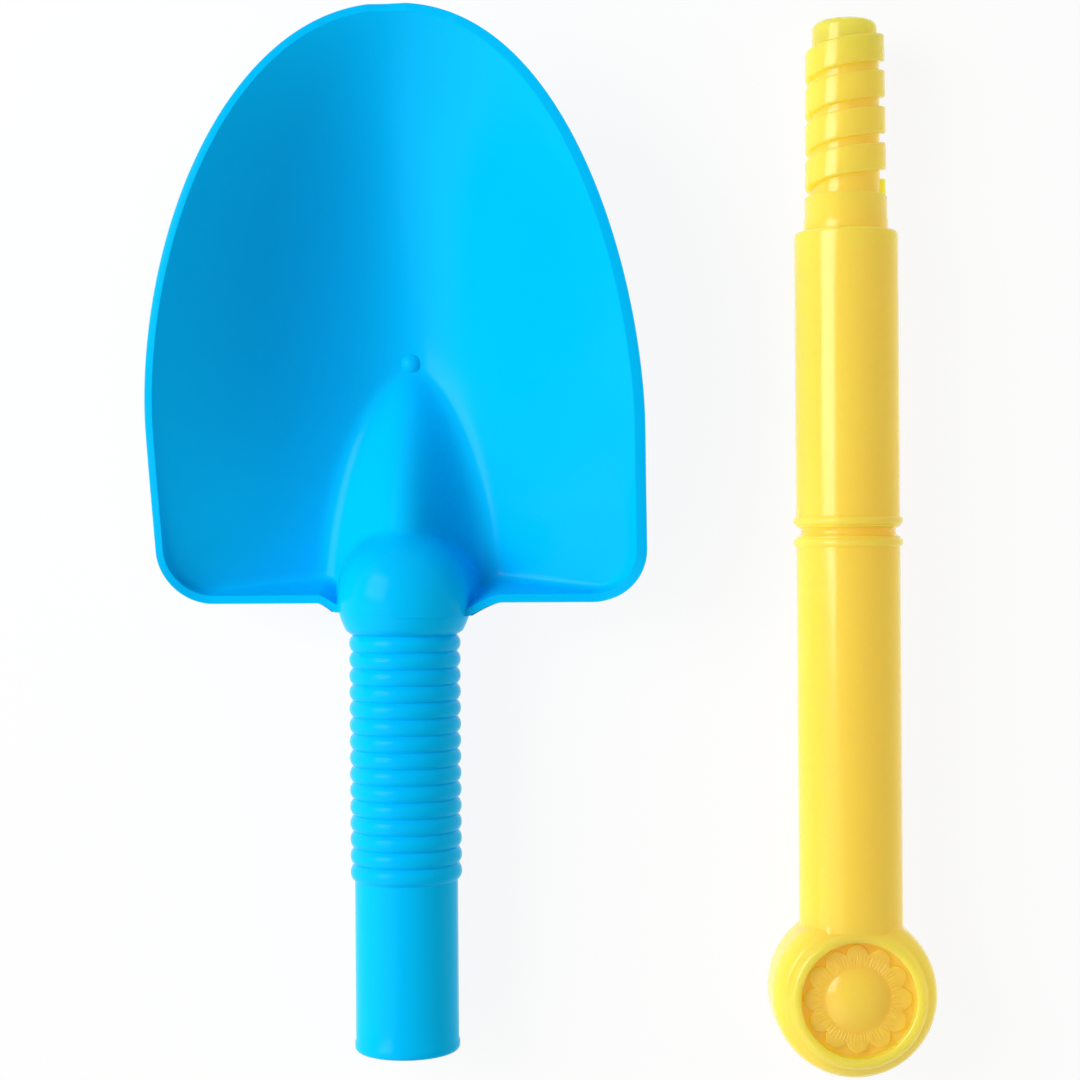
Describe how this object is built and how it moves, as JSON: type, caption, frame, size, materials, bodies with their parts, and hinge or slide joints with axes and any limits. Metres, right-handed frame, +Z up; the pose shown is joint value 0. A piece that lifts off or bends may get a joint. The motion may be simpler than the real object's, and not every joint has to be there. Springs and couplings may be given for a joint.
{
  "type": "sand shovel",
  "caption": "Plastic sand shovel taken apart: a deep dished scoop with a ribbed socket, and a screw-in handle with a round rosette knob.",
  "frame": {"origin": "middle of the ground under the two parts as they lie side by side", "axes": "+Y along both long axes towards the tip of the blade and the nose of the handle, +Z up out of the bowl, +X from the scoop to the handle"},
  "size_m": [0.2264, 0.3078, 0.0559],
  "materials": {
    "scoop_plastic": "semi-gloss moulded plastic, bright sky blue",
    "handle_plastic": "semi-gloss moulded plastic, warm yellow"
  },
  "bodies": {
    "scoop": {"scoop": "scoop_plastic"},
    "handle": {"handle": "handle_plastic"}
  },
  "joints": [
    {"name": "handle_lift", "type": "slide", "parent": "scoop", "child": "handle", "axis": [0, 0, 1], "range_m": [0, 0.15]}
  ]
}
